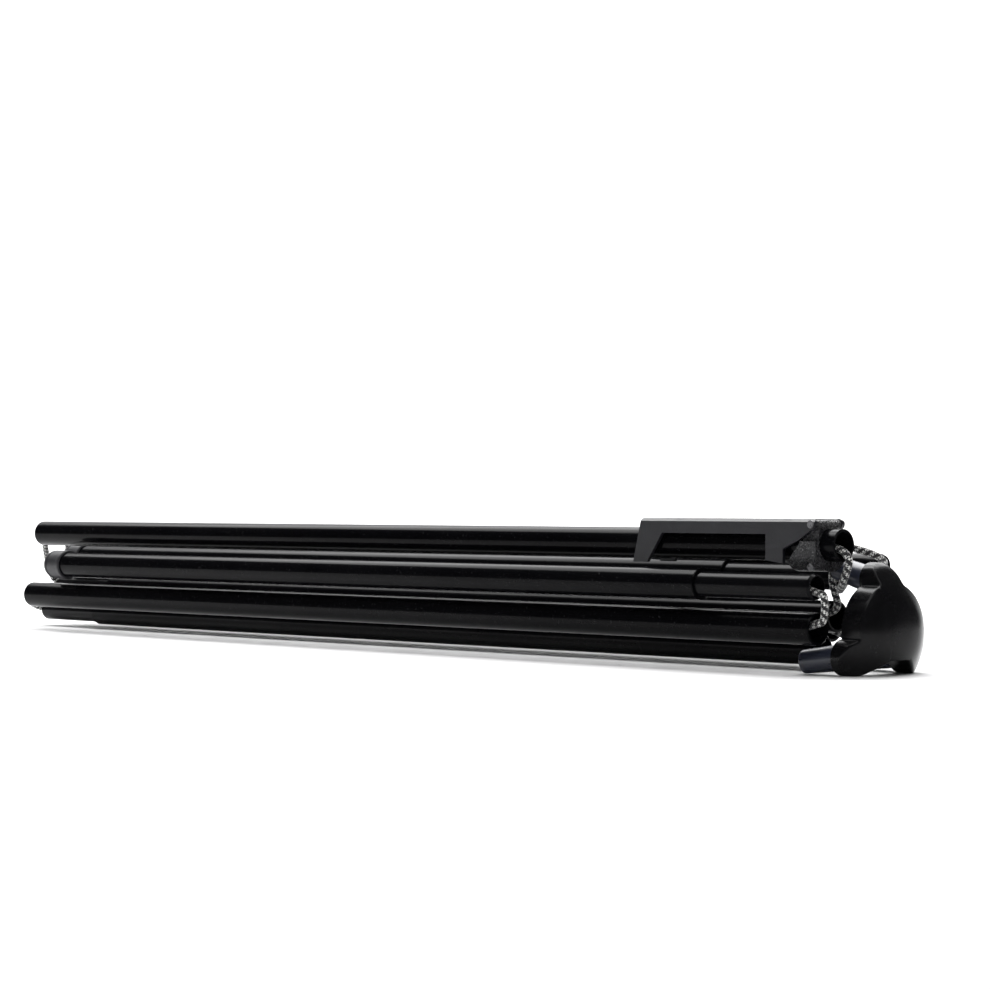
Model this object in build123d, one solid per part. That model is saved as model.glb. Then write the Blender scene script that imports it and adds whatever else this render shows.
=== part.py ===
from build123d import *
import math
import os

# Folding tripod display easel, carried as a bundle: three legs of three tubes, strung on elastic cord.
# Millimetres, +Z up.  X runs along the bundle with the hub at +X; Y is across it; the floor is Z = 0.

# ---- driving dimensions -------------------------------------------------------------------------
ORIGIN = (274.0143, -18.2, -0.85)     # moves the layout so the origin is the bounding box's bottom centre

TUBE_R = 6.35                       # half-inch tube
BORE_R = 5.2
FERRULE_R = 5.15                    # slides in the next tube's bore
FERRULE_BORE_R = 4.2
FERRULE_TOP = 50.0                  # what an upper tube's ferrule shows beyond its tube
FERRULE_LOW = 60.0                  # the same on a lower tube
FERRULE_IN = 40.0                   # what is pressed into the tube
EDGE = 0.35                         # broken edges at tube ends

CORD_R = 1.5
CORD_LAP = 8.0                      # a bend starts this deep inside a ferrule
CORD_RIM = 2.4                      # how far a bend leans to the rim of an open end
BEND_IN = 7.0
BEND_OUT = 3.6
BEND_R = 2.2
PLUG_CLEAR = 51.0                   # a middle tube's cord starts this deep, clear of the upper ferrule
LOW_CLEAR = 61.0                    # the same at its other end, clear of the lower ferrule
TOP_CLEAR = 18.5                    # the same for the upper tube on its hub spigot
TOP_BEND_R = 2.2
HUB_LAP = 4.0                       # the hub's own cord stops this deep inside the spigot

SPIGOT_R = 5.05                     # at its root
SPIGOT_TIP_R = 4.6
SPIGOT_LEN = 17.0
TENON = 5.6                         # pressed into the boss
TENON_R = 3.9
SPIGOT_BORE_R = 2.1
KNOT_R = 2.6
KNOT_AT = -3.0                      # the hub knot sits in a counterbore behind the spigot's root
COUNTERBORE_R = 2.75
COUNTERBORE_TO = -0.3
SPLAY = 15.0                        # each spigot leans outwards from the hub's axis, degrees

HUB_X = 15.8                        # plane of the boss faces
HUB_Y = 12.0
HUB_Z = 17.6
HUB_REACH = 19.5                    # hub axis to spigot root
BOSS_R = 7.0
HUB_DEPTH = 17.0
WEB_R = 19.0
ARCH = 11.0                         # the web is cut off this far below the hub's axis
RIM = 1.4                           # the skirt between the bosses starts this far behind their faces
WALL = 2.4

CAP_R = 7.5                         # rubber foot
CAP_LEN = 15.0
CAP_END = 3.0

# ---- the folded bundle: (y, z, x of the left end, x of the right end) of each tube ---------------
LEGS = {
    "rear": {
        "spoke": -120.0,
        "upper": (12.2, 9.3, -559.3, -9.3),
        "middle": (-14.0, 18.8, -533.4, 11.6),
        "lower": (-17.1, 34.9, -510.2, 13.8),
    },
    "left": {
        "spoke": 0.0,
        "upper": (20.4, 22.0, -558.3, -8.3),
        "middle": (-3.2, 50.7, -539.8, 15.2),
        "lower": (23.7, 37.5, -554.2, -9.2),
    },
    "right": {
        "spoke": 120.0,
        "upper": (35.2, 17.3, -573.6, -23.6),
        "middle": (37.9, 50.2, -575.9, -20.9),
        "lower": (53.5, 41.3, -557.8, -12.8),
    },
}
# way points of the short cords from the hub spigots to the upper tubes, where they pass other tubes
TOP_LINK_VIA = {
    "rear": [],
    "left": [(-5.0, 12.5, 36.0)],
    "right": [],
}
# way points of the cord that leaves the top tube's end and passes under the upper spigot
LEFT_LOW_VIA = [(17.3, -2.6, 45.4), (16.9, -2.4, 43.2), (12.5, -1.0, 36.0), (2.0, 9.0, 32.0)]

# ---- display holder, measured from the middle tube's right end and axis --------------------------
HOLDER_AT = {"left": 8.3, "right": 4.5}
COLLAR_BORE_R = 6.4
COLLAR_HALF = 8.8
COLLAR_BOTTOM = -10.2
COLLAR_FOOT = (-30.6, -14.4)
COLLAR_NECK = (-23.2, -15.2)
COLLAR_SLIT = 1.2
PIN_X = -17.4
PIN_Z = 8.1
PIN_R = 1.0
EYE_R = 2.1
ARM_IN = 7.1                        # half the channel's inner width
ARM_OUT = 8.7
ARM_TOP = 10.2
ARM_WEB = 1.7
ARM_EDGE = 4.2                      # lower edge of the channel's sides
ARM_ROOT = (-41.0, -32.0)
ARM_TIP = -110.0
LIP_IN = -97.4
LIP_FOOT = -105.9
LIP_BOTTOM = -7.7
LIP_LEAN = 3.8                      # the lip leans outwards by this much
ARM_BEVEL = 1.1
SCREW_X = -20.2
SCREW_Z = -8.1
SCREW_R = 1.0
HEAD_R = 1.7
HEAD_Y = (-6.0, -4.6)
NUT = 3.6
NUT_Y = (4.2, 5.9)


def at(x, y, z):
    return Pos(x, y, z)


def along_x(x0, x1, y, z):
    """Placement of a solid that is drawn along +Z from x0 to x1."""
    return Pos((x0 + x1) / 2, y, z) * Rot(0, 90, 0)


def rod(x0, x1, y, z, radius):
    return along_x(x0, x1, y, z) * Cylinder(radius, x1 - x0)


def pipe(x0, x1, y, z, outer, inner, edge=EDGE):
    """A tube with its outer end edges broken."""
    body = Cylinder(outer, x1 - x0)
    rims = body.edges().filter_by(GeomType.CIRCLE)
    body = chamfer(rims, edge)
    return along_x(x0, x1, y, z) * (body - Cylinder(inner, x1 - x0 + 2))


def turned(points):
    """A solid of revolution about X from (x, radius) corners."""
    face = make_face(Polyline(*[(x, 0, r) for x, r in points], close=True))
    return revolve(face, Axis.X)


def rounded(points, radius):
    """Wire through straight runs whose corners are rounded by arcs tangent to both sides."""
    corners = [Vector(*p) for p in points]
    edges = []
    last = corners[0]
    for before, here, after in zip(corners, corners[1:], corners[2:]):
        back = (before - here).normalized()
        ahead = (after - here).normalized()
        half = math.radians(back.get_angle(ahead)) / 2
        run = radius / math.tan(half)
        middle = here + (back + ahead).normalized() * (radius / math.sin(half) - radius)
        edges.append(Line(last, here + back * run))
        edges.append(ThreePointArc(here + back * run, middle, here + ahead * run))
        last = here + ahead * run
    edges.append(Line(last, corners[-1]))
    return Wire([edge.edge() for edge in edges])


def cord(points, radius):
    """Round cord along straight runs with rounded corners."""
    path = rounded(points, radius)
    start = Plane(origin=path @ 0, z_dir=path % 0)
    return sweep(start * Circle(CORD_R), path=path)


def bend(p_tube, p_end, p_deep, q_tube, q_end, q_deep, side):
    """Cord from p_deep inside tube p, round the open ends on the given side (+1 right), into tube q."""
    py, pz = p_tube[0], p_tube[1]
    gap = math.hypot(q_tube[0] - py, q_tube[1] - pz)
    across = ((q_tube[0] - py) / gap, (q_tube[1] - pz) / gap)

    def place(x, w):
        return (x, py + across[0] * w, pz + across[1] * w)

    p_out = p_end + side * BEND_OUT
    q_out = q_end + side * BEND_OUT
    points = [
        place(p_end - side * p_deep, 0),
        place(p_end - side * BEND_IN, 0),
        place(p_end, CORD_RIM),
        place(p_out, CORD_RIM + 0.4),
    ]
    if side * (p_end - q_end) > BEND_OUT:
        points.append(place(p_out, CORD_RIM + 7.0))
    if side * (q_end - p_end) > BEND_OUT:
        points.append(place(q_out, gap - CORD_RIM - 7.0))
    points += [
        place(q_out, gap - CORD_RIM - 0.4),
        place(q_end, gap - CORD_RIM),
        place(q_end - side * BEND_IN, gap),
        place(q_end - side * q_deep, gap),
    ]
    return cord(points, BEND_R)


def spoke(angle, reach):
    """Offset across the hub for a direction measured from straight up, towards +Y."""
    a = math.radians(angle)
    return reach * math.sin(a), reach * math.cos(a)


def spigot_frame(angle):
    """Plane at a spigot's root, its +Z along the spigot away from the hub."""
    dy, dz = spoke(angle, HUB_REACH)
    s = math.radians(SPLAY)
    ly, lz = spoke(angle, math.sin(s))
    return Plane(origin=(HUB_X, HUB_Y + dy, HUB_Z + dz), x_dir=(0, -lz, ly), z_dir=(-math.cos(s), ly, lz))


# ---- hub ----------------------------------------------------------------------------------------
def lobes(grow):
    """Three-armed outline of the hub, as a prism along X."""
    plan = Cylinder(WEB_R + grow, 60) - Pos(0, -ARCH - grow - 20, 0) * Box(60, 40, 60)
    for leg in LEGS.values():
        dy, dz = spoke(leg["spoke"], HUB_REACH)
        arm = Box(2 * (BOSS_R + grow), HUB_REACH, 60)
        turn = Rot(0, 0, -leg["spoke"])
        plan = plan + turn * Pos(0, HUB_REACH / 2, 0) * arm
        plan = plan + turn * Pos(0, HUB_REACH, 0) * Cylinder(BOSS_R + grow, 60)
    return plan


def hub_placed(shape):
    """Hub shapes are drawn with +Z to the crown and +Y up; this sets them in the bundle."""
    return Plane(origin=(HUB_X, HUB_Y, HUB_Z), x_dir=(0, 1, 0), z_dir=(1, 0, 0)) * shape


def dome(reach, crown, base):
    """Solid dome about Z from the base plane to its crown."""
    shoulder = [(reach, 0.12 * crown), (0.77 * reach, 0.56 * crown), (0.52 * reach, 0.83 * crown), (0, crown)]
    profile = Spline(*shoulder, tangents=((-0.3, 1), (-1, 0)))
    edge = Polyline((0, crown), (0, base), (reach, base), shoulder[0])
    face = Plane.XZ * make_face([profile, edge])
    return revolve(face, Axis.Z)


def hub_shell():
    outer = dome(HUB_REACH + BOSS_R + 0.6, HUB_DEPTH, 0.0) & lobes(0.0)
    rims = outer.edges().filter_by(lambda e: e.center().Z > 3.0)
    outer = fillet(rims, 1.2)
    hollow = dome(HUB_REACH + BOSS_R - WALL, HUB_DEPTH - WALL, -5.0) & lobes(-WALL)
    shell = outer - hollow - Pos(0, 0, RIM / 2) * Box(90, 90, RIM)
    for leg in LEGS.values():
        post = Rot(0, 0, -leg["spoke"]) * Pos(0, HUB_REACH, HUB_DEPTH / 2) * Cylinder(BOSS_R, HUB_DEPTH)
        shell = shell + (post & outer)
    shell = hub_placed(shell)
    for leg in LEGS.values():
        root = spigot_frame(leg["spoke"])
        shell = shell - root * Pos(0, 0, -TENON / 2 + 5) * Cylinder(TENON_R, TENON + 10)
        shell = shell - root * Pos(0, 0, 10) * Cylinder(SPIGOT_R, 20)
    return shell


def hub_spigot(leg):
    tenon = Pos(0, 0, -TENON / 2) * Cylinder(TENON_R, TENON)
    body = tenon + Pos(0, 0, 2.5) * Cylinder(SPIGOT_R, 5)
    body = body + Pos(0, 0, (SPIGOT_LEN + 5) / 2) * Cone(SPIGOT_R, SPIGOT_TIP_R, SPIGOT_LEN - 5)
    end = body.edges().filter_by(GeomType.CIRCLE).sort_by(Axis.Z)[-1]
    body = fillet(end, 0.9)
    body = body - Cylinder(SPIGOT_BORE_R, 80)
    body = body - Pos(0, 0, COUNTERBORE_TO - 5) * Cylinder(COUNTERBORE_R, 10)
    return spigot_frame(leg["spoke"]) * body


def knot(radius):
    """A pulled-tight overhand knot: two crossed turns of the cord."""
    turn = Torus(radius - CORD_R, CORD_R)
    body = Rot(62, 0, 0) * turn + Rot(-62, 0, 0) * turn
    return body + Sphere(CORD_R * 1.2)


def hub_cord(leg):
    """Cord from its knot in the spigot's root to just inside the spigot's tip."""
    start = spigot_frame(leg["spoke"])
    low = KNOT_AT + KNOT_R
    high = SPIGOT_LEN - HUB_LAP
    return start * Pos(0, 0, (low + high) / 2) * Cylinder(CORD_R, high - low)


def hub_knot(leg):
    return spigot_frame(leg["spoke"]) * Pos(0, 0, KNOT_AT) * knot(KNOT_R)


def top_link(name, leg):
    """Cord from the hub spigot's tip into the upper tube."""
    frame = spigot_frame(leg["spoke"])
    y, z, _, right = leg["upper"]
    points = [
        tuple(frame.origin + frame.z_dir * (SPIGOT_LEN - HUB_LAP)),
        tuple(frame.origin + frame.z_dir * (SPIGOT_LEN + 2.5)),
    ]
    points += TOP_LINK_VIA[name]
    points += [(right + 2.5, y, z), (right - TOP_CLEAR, y, z)]
    return cord(points, TOP_BEND_R)


# ---- tubes --------------------------------------------------------------------------------------
def ferrule(y, z, shoulder, side, out):
    """Male ferrule: pressed part inside its tube, slightly slimmer part outside, rounded nose."""
    nose = 1.2
    profile = [
        (-FERRULE_IN, FERRULE_BORE_R),
        (-FERRULE_IN, BORE_R),
        (0, BORE_R),
        (0, FERRULE_R),
        (out - nose, FERRULE_R),
        (out, FERRULE_R - 0.6),
        (out, FERRULE_BORE_R),
    ]
    body = turned(profile)
    if side < 0:
        body = Rot(0, 0, 180) * body
    return at(shoulder, y, z) * body


def upper_tube(leg):
    y, z, left, right = leg["upper"]
    return pipe(left + FERRULE_TOP, right, y, z, TUBE_R, BORE_R)


def middle_tube(leg):
    y, z, left, right = leg["middle"]
    return pipe(left, right, y, z, TUBE_R, BORE_R)


def lower_tube(leg):
    y, z, left, right = leg["lower"]
    return pipe(left + CAP_END, right - FERRULE_LOW, y, z, TUBE_R, BORE_R)


def foot_cap(leg):
    """Rubber foot: round nose, a groove behind it, and a lip at the mouth."""
    y, z, left, _ = leg["lower"]
    profile = [
        (0, 0), (0, 4.2), (0.5, 5.6), (1.5, 6.7), (2.8, 7.2), (3.6, 7.3), (4.0, 6.9), (4.9, 6.9), (5.3, 7.3),
        (CAP_LEN - 2.2, CAP_R - 0.1), (CAP_LEN - 1.8, CAP_R), (CAP_LEN - 0.4, CAP_R), (CAP_LEN, CAP_R - 0.4),
        (CAP_LEN, TUBE_R), (CAP_END, TUBE_R), (CAP_END, 0),
    ]
    return at(left, y, z) * turned(profile)


def foot_washer(leg):
    y, z, left, _ = leg["lower"]
    return pipe(left + 12.7, left + 14.7, y, z, BORE_R, CORD_R + 0.25, 0.3)


def foot_knot(leg):
    y, z, left, _ = leg["lower"]
    return at(left + 9.4, y, z) * Rot(0, 90, 0) * knot(3.4)


def cord_upper(leg):
    y, z, left, right = leg["upper"]
    return rod(left + CORD_LAP, right - TOP_CLEAR, y, z, CORD_R)


def cord_middle(leg):
    y, z, left, right = leg["middle"]
    return rod(left + PLUG_CLEAR, right - LOW_CLEAR, y, z, CORD_R)


def cord_lower(leg):
    y, z, left, right = leg["lower"]
    return rod(left + 12.7, right - CORD_LAP, y, z, CORD_R)


def bend_mid(leg):
    u, m = leg["upper"], leg["middle"]
    return bend(u, u[2], CORD_LAP, m, m[2], PLUG_CLEAR, -1)


def bend_low(name, leg):
    m, low = leg["middle"], leg["lower"]
    if name != "left":
        return bend(m, m[3], LOW_CLEAR, low, low[3], CORD_LAP, 1)
    points = [(m[3] - LOW_CLEAR, m[0], m[1]), (m[3] - BEND_IN, m[0], m[1]), (m[3], m[0] + 0.4, m[1] - CORD_RIM)]
    points += LEFT_LOW_VIA
    points += [(low[3] + BEND_OUT, low[0], low[1]), (low[3] - CORD_LAP, low[0], low[1])]
    return cord(points, BEND_R)


# ---- display holder -----------------------------------------------------------------------------
def slab(corners, half):
    """Side outline given as (x, z) corners, spread half each way across the tube."""
    face = make_face(Polyline(*[(x, 0, z) for x, z in corners], close=True))
    return extrude(face, half, dir=(0, 1, 0), both=True)


def holder_collar():
    foot_l, foot_r = COLLAR_FOOT
    neck_l, neck_r = COLLAR_NECK
    shape = slab(
        [(foot_l, COLLAR_BOTTOM), (foot_r, COLLAR_BOTTOM), (foot_r - 0.6, -7.0), (neck_r, 1.0),
         (neck_r, 7.0), (neck_l, 7.0), (neck_l, 1.0), (foot_l + 0.6, -7.0)],
        COLLAR_HALF,
    )
    round_section = rod(foot_l - 5, foot_r + 5, 0, 0, 10.3)
    flat_section = Pos(PIN_X, 0, 0) * Box(60, 2 * COLLAR_HALF, 40)
    shape = shape & round_section & flat_section
    neck_width = 2 * (ARM_IN - 0.35)
    side_cut = Pos(0, 0, 16.5 + 1.6) * Box(200, 40, 33)
    core = Pos(0, 0, 0) * Box(200, neck_width, 60)
    shape = shape - (side_cut - core)
    ear = Pos(PIN_X, 0, PIN_Z) * Rot(90, 0, 0) * Cylinder(EYE_R - 0.3, neck_width)
    bridge = Pos(PIN_X, 0, PIN_Z - 2.2) * Box(2 * EYE_R - 0.6, neck_width, 4.4)
    shape = shape + ear + bridge
    shape = shape - rod(-60, 20, 0, 0, COLLAR_BORE_R)
    shape = shape - Pos(PIN_X, 0, PIN_Z) * Rot(90, 0, 0) * Cylinder(PIN_R + 0.03, 40)
    shape = shape - Pos(PIN_X, 0, -8.5) * Box(60, COLLAR_SLIT, 8)
    shape = shape - cross_rod(-20, 20, SCREW_R + 0.1)
    shape = shape - cross_rod(HEAD_Y[0] - 4, HEAD_Y[1], HEAD_R + 0.15)
    return shape - Pos(SCREW_X, NUT_Y[0] + 3, SCREW_Z) * Box(NUT + 0.2, 6, NUT + 0.2)


def cross_rod(y0, y1, radius):
    """Round solid along the clamp screw's axis, across the tube."""
    return Pos(SCREW_X, (y0 + y1) / 2, SCREW_Z) * Rot(90, 0, 0) * Cylinder(radius, y1 - y0)


def holder_screw():
    shank = cross_rod(HEAD_Y[0] + 0.5, NUT_Y[1], SCREW_R)
    head = cross_rod(HEAD_Y[0], HEAD_Y[1], HEAD_R)
    slot = Pos(SCREW_X, HEAD_Y[0], SCREW_Z) * Box(2.6, 1.2, 0.5)
    return shank + head - slot


def holder_nut():
    block = Pos(SCREW_X, (NUT_Y[0] + NUT_Y[1]) / 2, SCREW_Z) * Box(NUT, NUT_Y[1] - NUT_Y[0], NUT)
    return block - cross_rod(0, 10, SCREW_R)


def holder_pin():
    shank = Pos(PIN_X, 0, PIN_Z) * Rot(90, 0, 0) * Cylinder(PIN_R, 2 * ARM_OUT + 0.2)
    for side in (-1, 1):
        shank = shank + Pos(PIN_X, side * (ARM_OUT + 0.25), PIN_Z) * Rot(90, 0, 0) * Cylinder(1.6, 0.4)
    return shank


def holder_arm():
    """Channel that folds over the tube; its deep end is the lip that keeps the board on."""
    root_l, root_r = ARM_ROOT
    shape = slab(
        [
            (ARM_TIP + 0.9, ARM_TOP), (root_l, ARM_TOP), (PIN_X - 1.5, PIN_Z + EYE_R - 0.1),
            (PIN_X, PIN_Z + EYE_R), (PIN_X, PIN_Z - EYE_R), (PIN_X - 6.6, 1.9), (root_r, -1.5), (root_r, -7.2),
            (root_l, -6.0), (root_l, ARM_EDGE), (LIP_IN, ARM_EDGE), (LIP_FOOT, LIP_BOTTOM),
            (ARM_TIP - LIP_LEAN, LIP_BOTTOM), (ARM_TIP + 0.5, ARM_TOP - 1.2),
        ],
        ARM_OUT,
    )
    shape = shape + Pos(PIN_X, 0, PIN_Z) * Rot(90, 0, 0) * Cylinder(EYE_R, 2 * ARM_OUT)
    corner = Pos((ARM_TIP + PIN_X) / 2, 0, 0)
    for side in (-1, 1):
        wedge = Rot(45, 0, 0) * Box(160, ARM_BEVEL * 1.5, ARM_BEVEL * 1.5)
        shape = shape - corner * Pos(0, side * ARM_OUT, ARM_TOP) * wedge
    inside = Pos((ARM_TIP + PIN_X) / 2, 0, ARM_TOP - ARM_WEB - 20) * Box(160, 2 * ARM_IN, 40)
    shape = shape - inside
    room = Pos(PIN_X, 0, PIN_Z) * Box(2 * (EYE_R + 3.4), 2 * ARM_IN, 20)
    shape = shape - room
    return shape - Pos(PIN_X, 0, PIN_Z) * Rot(90, 0, 0) * Cylinder(PIN_R, 40)


# ---- write every node ---------------------------------------------------------------------------
def nodes():
    out = {"hub_shell": hub_shell()}
    out["hub_cords"] = Compound([hub_cord(leg) for leg in LEGS.values()])
    out["hub_knots"] = Compound([hub_knot(leg) for leg in LEGS.values()])
    for name, leg in LEGS.items():
        out[f"hub_spigot_{name}"] = hub_spigot(leg)
        out[f"cord_top_{name}"] = top_link(name, leg)
        out[f"upper_tube_{name}"] = upper_tube(leg)
        y, z, left, _ = leg["upper"]
        out[f"upper_ferrule_{name}"] = ferrule(y, z, left + FERRULE_TOP, -1, FERRULE_TOP)
        out[f"upper_cord_{name}"] = cord_upper(leg)
        out[f"cord_bend_mid_{name}"] = bend_mid(leg)
        out[f"middle_tube_{name}"] = middle_tube(leg)
        out[f"middle_cord_{name}"] = cord_middle(leg)
        out[f"cord_bend_low_{name}"] = bend_low(name, leg)
        out[f"lower_tube_{name}"] = lower_tube(leg)
        y, z, _, right = leg["lower"]
        out[f"lower_ferrule_{name}"] = ferrule(y, z, right - FERRULE_LOW, 1, FERRULE_LOW)
        out[f"lower_cord_{name}"] = cord_lower(leg)
        out[f"foot_cap_{name}"] = foot_cap(leg)
        out[f"foot_washer_{name}"] = foot_washer(leg)
        out[f"foot_knot_{name}"] = foot_knot(leg)
    for name, shift in HOLDER_AT.items():
        y, z, _, right = LEGS[name]["middle"]
        place = at(right + shift, y, z)
        out[f"holder_collar_{name}"] = place * holder_collar()
        out[f"holder_screw_{name}"] = place * holder_screw()
        out[f"holder_nut_{name}"] = place * holder_nut()
        out[f"holder_pin_{name}"] = place * holder_pin()
        out[f"holder_arm_{name}"] = place * holder_arm()
    return out


os.makedirs("parts", exist_ok=True)
for node, shape in nodes().items():
    export_step(Pos(*ORIGIN) * shape, f"parts/{node}.step")
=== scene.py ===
import math
import bmesh
import bpy
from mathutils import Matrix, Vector


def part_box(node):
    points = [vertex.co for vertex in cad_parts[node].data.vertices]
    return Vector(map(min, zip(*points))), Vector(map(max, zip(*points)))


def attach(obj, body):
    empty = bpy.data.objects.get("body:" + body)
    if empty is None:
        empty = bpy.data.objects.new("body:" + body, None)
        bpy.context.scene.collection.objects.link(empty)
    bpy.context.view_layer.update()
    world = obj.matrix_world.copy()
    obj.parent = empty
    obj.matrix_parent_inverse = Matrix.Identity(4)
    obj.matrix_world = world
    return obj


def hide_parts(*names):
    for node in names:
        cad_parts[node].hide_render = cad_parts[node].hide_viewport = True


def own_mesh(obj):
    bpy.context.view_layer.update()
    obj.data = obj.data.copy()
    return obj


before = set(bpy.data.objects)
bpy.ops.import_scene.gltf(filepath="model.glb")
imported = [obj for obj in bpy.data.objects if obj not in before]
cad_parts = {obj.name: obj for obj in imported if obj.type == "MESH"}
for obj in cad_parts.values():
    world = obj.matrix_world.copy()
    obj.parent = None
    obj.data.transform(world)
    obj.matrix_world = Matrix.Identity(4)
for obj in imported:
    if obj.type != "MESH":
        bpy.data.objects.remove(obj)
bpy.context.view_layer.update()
MM = 0.001
LEGS = ("rear", "left", "right")


# ---- materials ----------------------------------------------------------------------------------
def new_material(name, color, roughness, metallic=0.0, coat=0.0, coat_rough=0.05, specular=0.5, sheen=0.0):
    """A new material and its shader, with the shader's plain settings filled in."""
    mat = bpy.data.materials.new(name)
    mat.use_nodes = True
    shader = mat.node_tree.nodes["Principled BSDF"]
    shader.inputs["Base Color"].default_value = (*color, 1)
    shader.inputs["Roughness"].default_value = roughness
    shader.inputs["Metallic"].default_value = metallic
    shader.inputs["Coat Weight"].default_value = coat
    shader.inputs["Coat Roughness"].default_value = coat_rough
    shader.inputs["Specular IOR Level"].default_value = specular
    shader.inputs["Sheen Weight"].default_value = sheen
    return mat, shader


class Nodes:
    """Short names for building a node tree."""

    def __init__(self, mat):
        self.tree = mat.node_tree

    def add(self, kind, **settings):
        node = self.tree.nodes.new(kind)
        for key, value in settings.items():
            setattr(node, key, value)
        return node

    def link(self, out, into):
        self.tree.links.new(out, into)

    def coords(self, scale=(1, 1, 1), turn=(0, 0, 0)):
        tex = self.add("ShaderNodeTexCoord")
        mapping = self.add("ShaderNodeMapping")
        mapping.inputs["Scale"].default_value = scale
        mapping.inputs["Rotation"].default_value = turn
        self.link(tex.outputs["Object"], mapping.inputs["Vector"])
        return mapping.outputs["Vector"]

    def noise(self, vector, scale, detail=4.0, rough=0.55, distortion=0.0):
        node = self.add("ShaderNodeTexNoise")
        node.inputs["Scale"].default_value = scale
        node.inputs["Detail"].default_value = detail
        node.inputs["Roughness"].default_value = rough
        node.inputs["Distortion"].default_value = distortion
        self.link(vector, node.inputs["Vector"])
        return node.outputs["Fac"]

    def cells(self, vector, scale):
        node = self.add("ShaderNodeTexVoronoi")
        node.inputs["Scale"].default_value = scale
        self.link(vector, node.inputs["Vector"])
        return node.outputs["Distance"]

    def ramp(self, value, low, high, out_low=0.0, out_high=1.0):
        node = self.add("ShaderNodeMapRange")
        node.inputs["From Min"].default_value = low
        node.inputs["From Max"].default_value = high
        node.inputs["To Min"].default_value = out_low
        node.inputs["To Max"].default_value = out_high
        self.link(value, node.inputs["Value"])
        return node.outputs["Result"]

    def mix(self, factor, first, second):
        node = self.add("ShaderNodeMix", data_type="RGBA")
        self.link(factor, node.inputs[0])
        for socket, value in ((node.inputs[6], first), (node.inputs[7], second)):
            if isinstance(value, tuple):
                socket.default_value = (*value, 1)
            else:
                self.link(value, socket)
        return node.outputs[2]

    def math(self, kind, first, second=None):
        node = self.add("ShaderNodeMath", operation=kind)
        for socket, value in zip(node.inputs, (first, second)):
            if value is None:
                continue
            if isinstance(value, (int, float)):
                socket.default_value = value
            else:
                self.link(value, socket)
        return node.outputs[0]

    def bump(self, height, strength, distance, normal=None):
        node = self.add("ShaderNodeBump")
        node.inputs["Strength"].default_value = strength
        node.inputs["Distance"].default_value = distance
        self.link(height, node.inputs["Height"])
        if normal is not None:
            self.link(normal, node.inputs["Normal"])
        return node.outputs["Normal"]


def painted(name, color, dusty, rough, streak, scratch, specular=0.2):
    """Sprayed enamel on a drawn tube: long faint streaks, fine scratches, a little dust."""
    mat, shader = new_material(name, color, rough, specular=specular)
    n = Nodes(mat)
    along = n.noise(n.coords((3, 260, 260)), 1.0, 5)
    cloud = n.noise(n.coords(), 26.0, 5)
    speck = n.ramp(n.noise(n.coords(), 900.0, 2), 0.66, 0.78)
    lines = n.ramp(n.noise(n.coords((14, 700, 700), turn=(0, 0, 0.04)), 1.0, 3, 0.7), 0.60, 0.72)
    worn = n.math("MULTIPLY", lines, n.ramp(cloud, 0.45, 0.7))
    tint = n.mix(n.ramp(cloud, 0.35, 0.75), color, dusty)
    tint = n.mix(n.math("MULTIPLY", speck, 0.10), tint, (0.25, 0.25, 0.26))
    n.link(tint, shader.inputs["Base Color"])
    streaks = n.ramp(along, 0.3, 0.7, rough - streak, rough + streak)
    n.link(n.math("ADD", streaks, n.math("MULTIPLY", worn, scratch)), shader.inputs["Roughness"])
    peel = n.noise(n.coords(), 420.0, 2)
    normal = n.bump(peel, 0.05, 0.0002)
    normal = n.bump(along, 0.05, 0.0002, normal)
    n.link(normal, shader.inputs["Normal"])
    return mat


def moulded(name, color, pale, rough, grain, depth, flow, specular=0.45):
    """Injection-moulded plastic: fine grain, slow flow marks and a few rubbed spots."""
    mat, shader = new_material(name, color, rough, specular=specular)
    n = Nodes(mat)
    cloud = n.noise(n.coords(), 38.0, 4, 0.6, 0.8)
    fine = n.noise(n.coords(), grain, 3)
    rub = n.ramp(n.noise(n.coords(), 120.0, 6, 0.7), 0.58, 0.74)
    tint = n.mix(n.ramp(cloud, 0.3, 0.75), color, pale)
    tint = n.mix(n.math("MULTIPLY", rub, 0.25), tint, tuple(min(1, c * 3) for c in pale))
    n.link(tint, shader.inputs["Base Color"])
    flows = n.ramp(cloud, 0.3, 0.7, rough - 0.04, rough + 0.05)
    n.link(n.math("ADD", flows, n.math("MULTIPLY", rub, 0.12)), shader.inputs["Roughness"])
    normal = n.bump(fine, depth, 0.0004)
    normal = n.bump(cloud, flow, 0.0015, normal)
    n.link(normal, shader.inputs["Normal"])
    return mat


def pebbled(name, color, pale):
    """Leather-like moulded texture of the collar, with a painted highlight on the raised pebbles."""
    mat, shader = new_material(name, color, 0.36, coat=0.15, coat_rough=0.25)
    n = Nodes(mat)
    cells = n.cells(n.coords(), 950.0)
    warp = n.noise(n.coords(), 500.0, 4, 0.6, 1.2)
    height = n.math("ADD", n.ramp(cells, 0.0, 0.7, 1.0, 0.0), warp)
    # painted highlight: the colour turns pale on the raised pebbles, standing in for their glints
    n.link(n.mix(n.ramp(height, 0.5, 1.4), color, pale), shader.inputs["Base Color"])
    n.link(n.ramp(warp, 0.3, 0.7, 0.20, 0.40), shader.inputs["Roughness"])
    n.link(n.bump(height, 0.9, 0.0006), shader.inputs["Normal"])
    return mat


def rubber(name, color, pale):
    """Dull rubber: gritty skin with cloudy wear."""
    mat, shader = new_material(name, color, 0.55, specular=0.45)
    n = Nodes(mat)
    cloud = n.noise(n.coords(), 70.0, 5, 0.65)
    grit = n.noise(n.coords(), 1500.0, 3)
    n.link(n.mix(n.ramp(cloud, 0.35, 0.7), color, pale), shader.inputs["Base Color"])
    n.link(n.ramp(cloud, 0.3, 0.7, 0.42, 0.62), shader.inputs["Roughness"])
    n.link(n.bump(grit, 0.3, 0.0002), shader.inputs["Normal"])
    return mat


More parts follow.
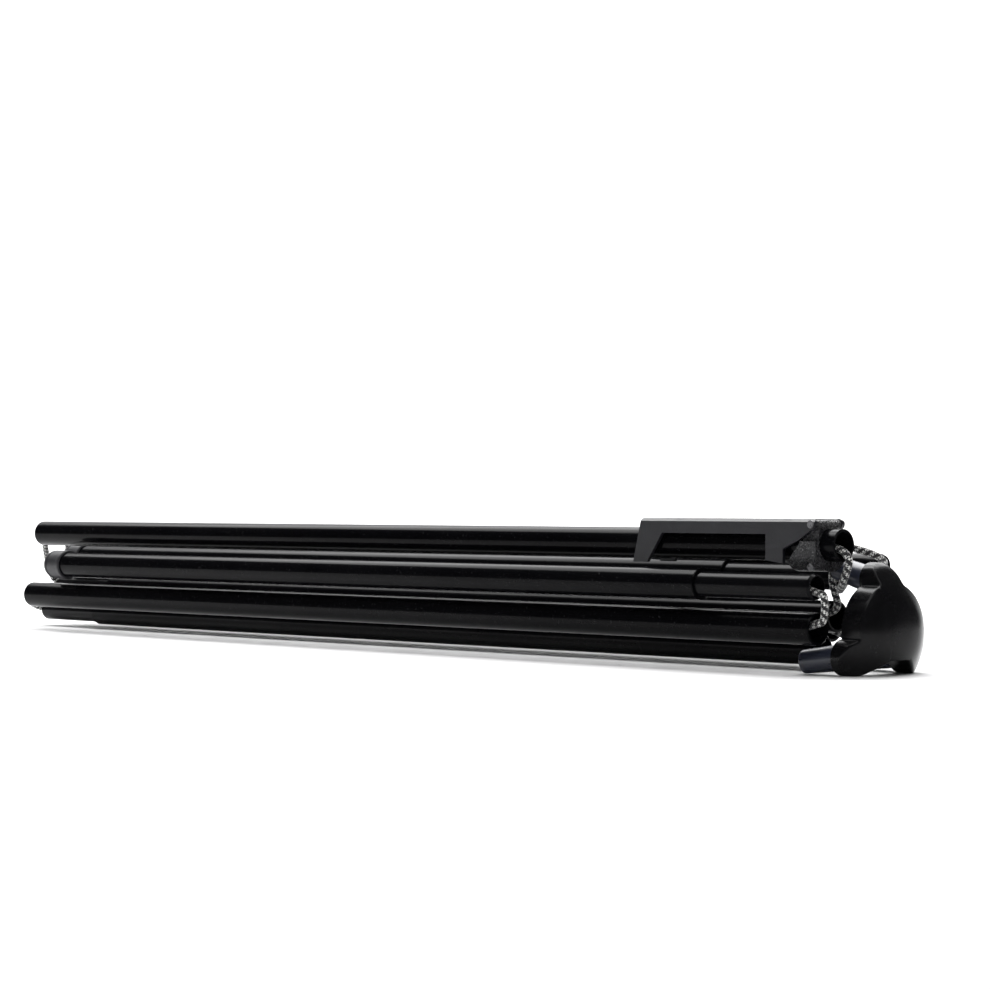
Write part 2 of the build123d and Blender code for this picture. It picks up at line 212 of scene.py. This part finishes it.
def turned_steel(name, color):
    """Zinc-plated steel with fine tool marks."""
    mat, shader = new_material(name, color, 0.3, metallic=1.0)
    n = Nodes(mat)
    lathe = n.noise(n.coords((900, 900, 900)), 1.0, 4)
    cloud = n.noise(n.coords(), 300.0, 4)
    n.link(n.mix(n.ramp(cloud, 0.3, 0.7), color, tuple(c * 0.6 for c in color)), shader.inputs["Base Color"])
    n.link(n.ramp(lathe, 0.3, 0.7, 0.22, 0.42), shader.inputs["Roughness"])
    n.link(n.bump(lathe, 0.2, 0.0001), shader.inputs["Normal"])
    return mat


def braid(name, dark, fleck):
    """Braided sheath: crossing strands from the cord's own length and turn, half of one set white."""
    mat, shader = new_material(name, dark, 0.75, sheen=0.4, specular=0.3)
    n = Nodes(mat)
    uv = n.add("ShaderNodeTexCoord").outputs["UV"]
    split = n.add("ShaderNodeSeparateXYZ")
    n.link(uv, split.inputs[0])
    right = n.math("ADD", split.outputs["X"], split.outputs["Y"])
    left = n.math("SUBTRACT", split.outputs["X"], split.outputs["Y"])
    wave_r = n.math("SINE", n.math("MULTIPLY", right, 8 * math.pi))
    wave_l = n.math("SINE", n.math("MULTIPLY", left, 8 * math.pi))
    weave = n.math("MULTIPLY", wave_r, wave_l)
    over = n.math("GREATER_THAN", weave, -0.15)
    carrier = n.math("LESS_THAN", n.math("FRACT", n.math("MULTIPLY", right, 2.0)), 0.5)
    worn = n.math("GREATER_THAN", n.noise(uv, 9.0, 2), 0.40)
    white = n.math("MULTIPLY", n.math("MULTIPLY", carrier, over), worn)
    n.link(n.mix(white, dark, fleck), shader.inputs["Base Color"])
    n.link(n.bump(weave, 0.8, 0.00025), shader.inputs["Normal"])
    return mat


MATS = {
    "tube": painted("tube_enamel", (0.0016, 0.0016, 0.0022), (0.0035, 0.0035, 0.0042), 0.17, 0.03, 0.10,
                    specular=0.05),
    "ferrule": painted("ferrule_enamel", (0.002, 0.002, 0.0025), (0.005, 0.005, 0.006), 0.20, 0.05, 0.16,
                       specular=0.07),
    "spigot": painted("spigot_enamel", (0.020, 0.024, 0.042), (0.032, 0.036, 0.056), 0.30, 0.05, 0.15, 0.7),
    "hub": moulded("hub_gloss", (0.003, 0.003, 0.0035), (0.007, 0.007, 0.008), 0.20, 900.0, 0.04, 0.10,
                   specular=0.14),
    "holder": moulded("holder_satin", (0.008, 0.008, 0.011), (0.015, 0.015, 0.019), 0.34, 1400.0,
                      0.18, 0.05),
    # the collar's second colour is a painted highlight for its raised pebbles
    "collar": pebbled("collar_pebble", (0.010, 0.010, 0.012), (0.026, 0.026, 0.029)),
    "foot": rubber("foot_rubber", (0.015, 0.015, 0.018), (0.032, 0.032, 0.036)),
    "washer": moulded("washer_plastic", (0.05, 0.05, 0.05), (0.08, 0.08, 0.08), 0.5, 900.0, 0.1, 0.05),
    "steel": turned_steel("zinc_steel", (0.24, 0.24, 0.25)),
    "cord": braid("cord_braid", (0.010, 0.010, 0.011), (0.80, 0.80, 0.78)),
}


FAMILIES = {
    "upper_tube": "tube",
    "middle_tube": "tube",
    "lower_tube": "tube",
    "upper_ferrule": "ferrule",
    "lower_ferrule": "ferrule",
    "hub_spigot": "spigot",
    "hub_shell": "hub",
    "foot_cap": "foot",
    "foot_washer": "washer",
    "holder_arm": "holder",
    "holder_collar": "collar",
    "holder_screw": "steel",
    "holder_nut": "steel",
    "holder_pin": "steel",
}


def family(node):
    """The material of a CAD node, from the start of its name; all the others are cords and knots."""
    return next((name for start, name in FAMILIES.items() if node.startswith(start)), "cord")


for node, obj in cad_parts.items():
    slots = obj.material_slots
    if not slots:
        obj.data.materials.append(MATS[family(node)])
    for slot in slots:
        slot.material = MATS[family(node)]


# ---- cords --------------------------------------------------------------------------------------
CORD_R = 1.5 * MM
SIDES = 20                  # corners of a cord's cross-section
STEP = 0.6 * MM             # from one cross-section to the next
PLAIT = 6 * MM              # length of one repeat of the sheath's pattern
STRANDS = 8
RIPPLE = 0.035              # height of the strands' ripple, as a share of the radius
TWIST = 1.9                 # turn of the ripple from one cross-section to the next, in radians

BEND_OUT = 3.6 * MM         # how far a bend stands out of the tube mouths
RIM = 2.4 * MM              # from a tube's axis to where the cord leans on its rim
EASE = 0.4 * MM             # small offset that rounds the cord over a rim
LEAD = 7 * MM               # from a rim to the next point of the route
IN_FERRULE = 8 * MM         # how deep inside a ferrule a bend starts or ends
IN_SOCKET = 50 * MM         # and how deep inside a middle tube, past where the plug will reach


def smooth_points(route):
    """Even points along a NURBS line whose control points are the route."""
    curve = bpy.data.curves.new("route", "CURVE")
    curve.dimensions = "3D"
    curve.resolution_u = 24
    spline = curve.splines.new("NURBS")
    spline.points.add(len(route) - 1)
    for point, place in zip(spline.points, route):
        point.co = (*place, 1)
    spline.order_u = 3
    spline.use_endpoint_u = True
    holder = bpy.data.objects.new("route", curve)
    bpy.context.collection.objects.link(holder)
    mesh = bpy.data.meshes.new_from_object(holder.evaluated_get(bpy.context.evaluated_depsgraph_get()))
    raw = [v.co.copy() for v in mesh.vertices]
    bpy.data.objects.remove(holder)
    out = [raw[0]]
    carry = 0.0
    for a, b in zip(raw, raw[1:]):
        length = (b - a).length
        while length > 0 and carry + length >= STEP:
            a = a + (b - a) * ((STEP - carry) / length)
            length = (b - a).length
            carry = 0.0
            out.append(a.copy())
        carry += length
    return out


def cord_mesh(name, route):
    """Tube along the route with a braid-scale ripple and lengthwise coordinates for the sheath."""
    line = smooth_points([Vector(p) for p in route])
    mesh = bpy.data.meshes.new(name)
    bm = bmesh.new()
    uv = bm.loops.layers.uv.new("sheath")
    tangent = (line[1] - line[0]).normalized()
    side = tangent.orthogonal().normalized()
    rings = []
    for i, place in enumerate(line):
        ahead = (line[min(i + 1, len(line) - 1)] - line[max(i - 1, 0)]).normalized()
        side = (side - ahead * side.dot(ahead)).normalized()
        other = ahead.cross(side)
        ring = []
        for k in range(SIDES):
            angle = 2 * math.pi * k / SIDES
            weave = math.sin(STRANDS * angle + i * TWIST) * math.sin(STRANDS * angle - i * TWIST)
            outward = side * math.cos(angle) + other * math.sin(angle)
            ring.append(bm.verts.new(place + outward * CORD_R * (1.0 + RIPPLE * weave)))
        rings.append(ring)
    for i, (low, high) in enumerate(zip(rings, rings[1:])):
        for k in range(SIDES):
            face = bm.faces.new((low[k], low[(k + 1) % SIDES], high[(k + 1) % SIDES], high[k]))
            face.smooth = True
            for loop, (du, dv) in zip(face.loops, ((0, 0), (0, 1), (1, 1), (1, 0))):
                loop[uv].uv = ((i + du) * STEP / PLAIT, (k + dv) / SIDES)
    bm.faces.new(rings[0])
    bm.faces.new(list(reversed(rings[-1])))
    bmesh.ops.recalc_face_normals(bm, faces=bm.faces)
    bm.to_mesh(mesh)
    bm.free()
    mesh.materials.append(MATS["cord"])
    obj = bpy.data.objects.new(name, mesh)
    bpy.context.collection.objects.link(obj)
    return obj


def tube_end(node, side):
    """Centre of the left (side -1) or right (side 1) end of a node that lies along X."""
    low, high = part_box(node)
    x = high[0] if side > 0 else low[0]
    return (x, (low[1] + high[1]) / 2, (low[2] + high[2]) / 2)


def bend_route(p, p_deep, q, q_deep, side, via=()):
    """Control points from inside tube end p, over both rims, into tube end q."""
    gap = math.hypot(q[1] - p[1], q[2] - p[2])
    uy, uz = (q[1] - p[1]) / gap, (q[2] - p[2]) / gap

    def spot(x, w):
        """The place at x that lies w away from p's axis, towards q's."""
        return (x, p[1] + uy * w, p[2] + uz * w)

    out_p = p[0] + side * BEND_OUT
    out_q = q[0] + side * BEND_OUT
    points = [spot(p[0] - side * p_deep, 0), spot(p[0] - side * LEAD, 0)]
    if via:
        points += [(p[0], p[1] + EASE, p[2] - RIM), *via, spot(out_q, gap)]
    else:
        points += [spot(p[0], RIM), spot(out_p, RIM + EASE)]
        if side * (p[0] - q[0]) > BEND_OUT:
            points.append(spot(out_p, RIM + LEAD))
        if side * (q[0] - p[0]) > BEND_OUT:
            points.append(spot(out_q, gap - RIM - LEAD))
        points += [spot(out_q, gap - RIM - EASE), spot(q[0], gap - RIM), spot(q[0] - side * LEAD, gap)]
    points.append(spot(q[0] - side * q_deep, gap))
    return points


def from_hub(x, y, z):
    """A place in millimetres from the plane of the hub's boss faces, its axis, and its lowest point."""
    low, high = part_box("hub_shell")
    return (low[0] + x * MM, (low[1] + high[1]) / 2 + y * MM, low[2] + z * MM)


def add_cord(where, name, route):
    """A leg's cord at its top, mid or low joint, in its CAD solid's place, parented to that joint's link."""
    node = f"cord_top_{name}" if where == "top" else f"cord_bend_{where}_{name}"
    piece = cord_mesh(f"braid_{where}_{name}", route)
    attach(piece, f"link_{where}_{name}")
    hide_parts(node)
    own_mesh(piece)


# The hub, in millimetres and degrees: its axis over its lowest point, and where the spigots stand round it
HUB_AXIS_UP = 16.75
SPOKES = {"rear": -120.0, "left": 0.0, "right": 120.0}
SPIGOT_REACH = 19.5
SPLAY = math.radians(15)
SPIGOT_LEN = 17 * MM
START_IN = 4 * MM           # how deep inside the spigot's mouth its cord starts
MOUTH_OUT = 2.5 * MM        # how far the cord runs straight out of the spigot and out of the upper tube
TOP_END = 18.5 * MM         # how deep it ends inside the upper tube
# Places that the left leg's cords hang through, counted as from_hub does
LOW_VIA = {"left": [(1.5, -14.6, 44.55), (1.1, -14.4, 42.35), (-3.3, -13.0, 35.15), (-13.8, -3.0, 31.15)]}
TOP_VIA = {"left": [(-20.8, 0.5, 35.15)]}

for name in LEGS:
    # upper tube to middle tube, at the left
    p, q = tube_end(f"upper_ferrule_{name}", -1), tube_end(f"middle_tube_{name}", -1)
    add_cord("mid", name, bend_route(p, IN_FERRULE, q, IN_SOCKET, -1))
    # middle tube to lower tube, at the right
    p, q = tube_end(f"middle_tube_{name}", 1), tube_end(f"lower_ferrule_{name}", 1)
    via = [from_hub(*spot) for spot in LOW_VIA.get(name, [])]
    add_cord("low", name, bend_route(p, IN_SOCKET, q, IN_FERRULE, 1, via))

for name in LEGS:
    # hub spigot to upper tube
    a = math.radians(SPOKES[name])
    out = Vector((-math.cos(SPLAY), math.sin(SPLAY) * math.sin(a), math.sin(SPLAY) * math.cos(a)))
    root = Vector(from_hub(0, SPIGOT_REACH * math.sin(a), HUB_AXIS_UP + SPIGOT_REACH * math.cos(a)))
    lead = root + out * (SPIGOT_LEN + MOUTH_OUT)
    end = tube_end(f"upper_tube_{name}", 1)
    via = [from_hub(*spot) for spot in TOP_VIA.get(name, [])]
    route = [root + out * (SPIGOT_LEN - START_IN), lead, *via]
    route += [(end[0] + MOUTH_OUT, end[1], end[2]), (end[0] - TOP_END, end[1], end[2])]
    add_cord("top", name, route)


# ---- floor, light and camera --------------------------------------------------------------------
AZIMUTH = 47.8
VIEW = Vector((-math.sin(math.radians(AZIMUTH)), math.cos(math.radians(AZIMUTH)), 0))
RIGHT = Vector((math.cos(math.radians(AZIMUTH)), math.sin(math.radians(AZIMUTH)), 0))
# The floor in metres: half its width, its front edge, where it starts to rise, that curve's radius, its top
FLOOR_HALF = 3.0
FLOOR_FRONT = -2.2
FLOOR_BACK = 1.6
SWEEP_R = 0.8
SWEEP_FACES = 12
WALL_TOP = 3.2
PAPER = (0.90, 0.90, 0.90)
PAPER_DIM = (0.88, 0.88, 0.885)


def sweep_floor():
    """Pale floor that curves up behind the object, square to the camera's view."""
    mesh = bpy.data.meshes.new("studio_floor")
    bm = bmesh.new()
    profile = [(FLOOR_FRONT, 0.0), (FLOOR_BACK, 0.0)]
    for k in range(1, SWEEP_FACES + 1):
        a = math.radians(90 * k / SWEEP_FACES)
        profile.append((FLOOR_BACK + SWEEP_R * math.sin(a), SWEEP_R - SWEEP_R * math.cos(a)))
    profile.append((FLOOR_BACK + SWEEP_R, WALL_TOP))
    left, right = [[bm.verts.new((x, y, z)) for y, z in profile] for x in (-FLOOR_HALF, FLOOR_HALF)]
    for k in range(len(profile) - 1):
        face = bm.faces.new((left[k], right[k], right[k + 1], left[k + 1]))
        face.smooth = True
    bm.to_mesh(mesh)
    bm.free()
    floor = bpy.data.objects.new("studio_floor", mesh)
    floor.rotation_euler = (0, 0, math.radians(AZIMUTH))
    bpy.context.collection.objects.link(floor)
    mat, shader = new_material("floor_white", PAPER, 0.75, specular=0.2)
    n = Nodes(mat)
    cloud = n.ramp(n.noise(n.coords(), 3.0, 4), 0.3, 0.7)
    n.link(n.mix(cloud, PAPER, PAPER_DIM), shader.inputs["Base Color"])
    mesh.materials.append(mat)


def area_light(name, place, aim, size, power):
    """A rectangular light, size in metres and power in watts, turned towards aim."""
    data = bpy.data.lights.new(name, "AREA")
    data.shape = "RECTANGLE"
    data.size, data.size_y = size
    data.energy = power
    obj = bpy.data.objects.new(name, data)
    obj.location = place
    obj.rotation_euler = (Vector(aim) - Vector(place)).to_track_quat("-Z", "Y").to_euler()
    bpy.context.collection.objects.link(obj)


sweep_floor()

world = bpy.data.worlds.new("studio_world")
bpy.context.scene.world = world
world.use_nodes = True
background = world.node_tree.nodes["Background"]
background.inputs["Color"].default_value = (1, 1, 1, 1)
background.inputs["Strength"].default_value = 0.06


def from_view(right, back, up):
    """A place given to the camera's right, away from the camera, and up."""
    return RIGHT * right + VIEW * back + Vector((0, 0, up))


area_light("top_back", from_view(0.0, 0.9, 1.5), from_view(0, 0.2, 0), (2.6, 1.6), 60)
area_light("top_front", from_view(0.0, -0.5, 1.5), from_view(0, -0.5, 0), (2.6, 1.0), 14)
area_light("back_wash", from_view(0.0, 1.2, 2.2), from_view(0, 2.4, 0.6), (3.0, 1.0), 60)
area_light("front_fill", from_view(0.5, -1.6, 1.6), (0, 0, 0), (0.8, 0.6), 2.5)

camera = bpy.data.cameras.new("camera")
camera.lens = 101.8
camera.sensor_width = 36.0
camera.shift_y = 0.006
camera.clip_end = 20
cam = bpy.data.objects.new("camera", camera)
cam.location = from_hub(704.8, -835.5, 66.95)
cam.rotation_euler = (math.radians(90), 0, math.radians(AZIMUTH))
bpy.context.collection.objects.link(cam)
bpy.context.scene.camera = cam
bpy.context.scene.view_settings.view_transform = "Standard"
